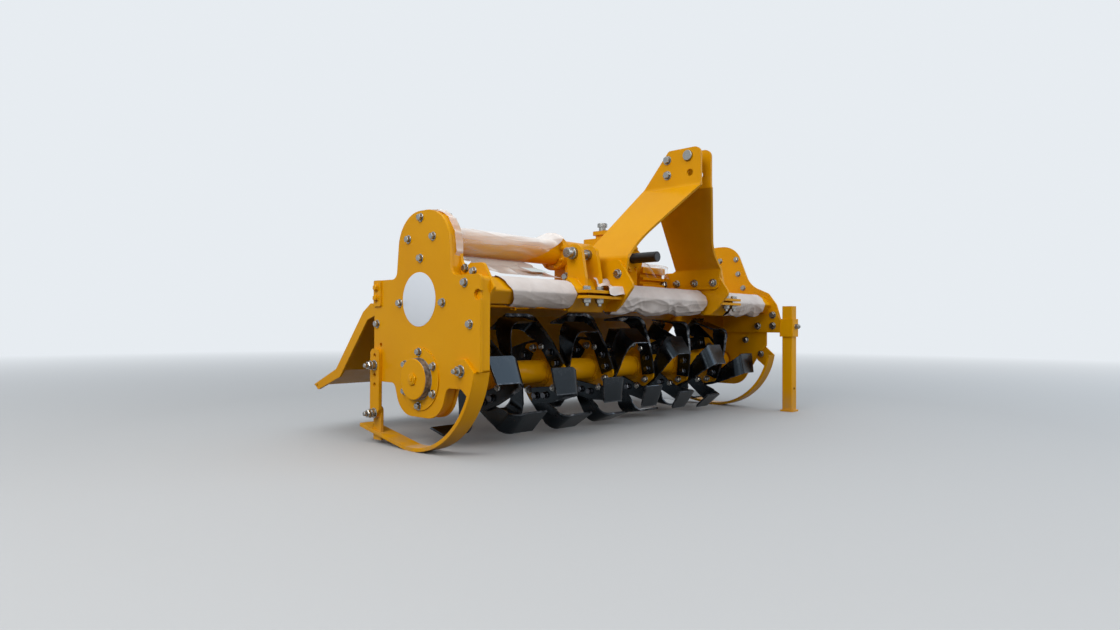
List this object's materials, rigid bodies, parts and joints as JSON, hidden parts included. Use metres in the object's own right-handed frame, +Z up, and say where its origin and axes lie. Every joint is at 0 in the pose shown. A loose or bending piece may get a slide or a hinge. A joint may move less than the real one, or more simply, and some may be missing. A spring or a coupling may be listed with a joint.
{
  "type": "three-point rotary tiller",
  "caption": "Three-point rotary tiller with a swept-bladed rotor, side gear case, mast with hitch ears, skids, hinged tail board and a parking stand.",
  "frame": {"origin": "on the ground under the middle of the machine's bounding box", "axes": "+X across the machine away from the side gear case, -Y to the tractor, +Z up"},
  "size_m": [1.956, 1.103, 1.048],
  "materials": {
    "enamel": "gloss",
    "blade_paint": "semi-gloss",
    "zinc": "zinc plated",
    "steel": "machined",
    "cap_rubber": "matt",
    "foam": "soft",
    "film": "clear and wrinkled"
  },
  "bodies": {
    "frame": {"near_case_cover": "enamel", "near_gear_case": "enamel", "near_frame_plate": "enamel", "near_hub_boss": "enamel", "far_frame_plate": "enamel", "far_hub": "enamel", "front_beam": "enamel", "hood": "enamel", "drive_tube": "enamel", "gearbox_cradle": "enamel", "gearbox_housing": "enamel", "gearbox_lid": "enamel", "filler_cap": "zinc", "breather": "zinc", "mast_plate_near": "enamel", "mast_plate_far": "enamel", "mast_spacers": "zinc", "top_link_pin": "zinc", "hitch_bracket_near": "enamel", "hitch_bracket_far": "enamel", "hitch_ears_near": "enamel", "hitch_ears_far": "enamel", "lower_link_pin_near": "zinc", "lower_link_pin_far": "zinc", "beam_clamp_upper_near": "enamel", "beam_clamp_upper_far": "enamel", "beam_clamp_lower_near": "enamel", "beam_clamp_lower_far": "enamel", "skid_near": "enamel", "skid_far": "enamel", "skid_link_near": "enamel", "skid_link_far": "enamel", "stand_collar": "enamel", "tail_hinge_rod": "enamel", "beam_foam": "foam", "tube_film": "film"},
    "input": {"input_shaft": "steel", "input_cap": "cap_rubber"},
    "rotor": {"rotor_tube": "enamel", "blade_flanges": "enamel", "blades_left": "blade_paint", "blades_right": "blade_paint"},
    "tail_board": {"tail_board": "enamel"},
    "stand_leg": {"stand_leg": "enamel"}
  },
  "joints": [
    {"name": "rotor_spin", "type": "hinge", "parent": "frame", "child": "rotor", "pos_m": [0, -0.1115, 0.225], "axis": [1, 0, 0], "continuous": true},
    {"name": "input_spin", "type": "hinge", "parent": "frame", "child": "input", "pos_m": [0, -0.2015, 0.66], "axis": [0, 1, 0], "continuous": true},
    {"name": "tail_board_lift", "type": "hinge", "parent": "frame", "child": "tail_board", "pos_m": [0, 0.1565, 0.466], "axis": [1, 0, 0], "range_deg": [0, 42]},
    {"name": "stand_slide", "type": "slide", "parent": "frame", "child": "stand_leg", "axis": [0, 0, 1], "range_m": [0, 0.2]}
  ],
  "couplings": [
    {"joint": "input_spin", "follows": "rotor_spin", "ratio": 2.45}
  ]
}
